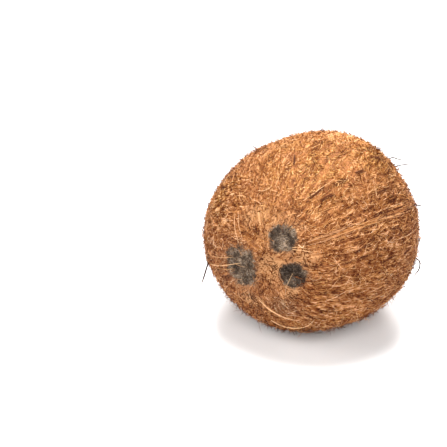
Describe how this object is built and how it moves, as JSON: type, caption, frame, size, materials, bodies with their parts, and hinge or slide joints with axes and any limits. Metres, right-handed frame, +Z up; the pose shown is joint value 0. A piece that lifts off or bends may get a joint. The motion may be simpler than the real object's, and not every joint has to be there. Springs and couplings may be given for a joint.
{
  "type": "coconut",
  "caption": "Whole husked brown coconut with fibrous shell and dark germination eyes, lying on its side on a small flat spot.",
  "frame": {"origin": "middle of the underside of the nut's bounding box, on the surface that it lies on", "axes": "+Z up; +X to the right of the eye end; the eye end faces -Y, turned 25.5 degrees towards -X and lifted 11.7 degrees"},
  "size_m": [0.1208, 0.1186, 0.1122],
  "materials": {
    "husk": "rough coir fibre, matte"
  },
  "bodies": {
    "root": {"coconut": "husk"}
  },
  "joints": []
}
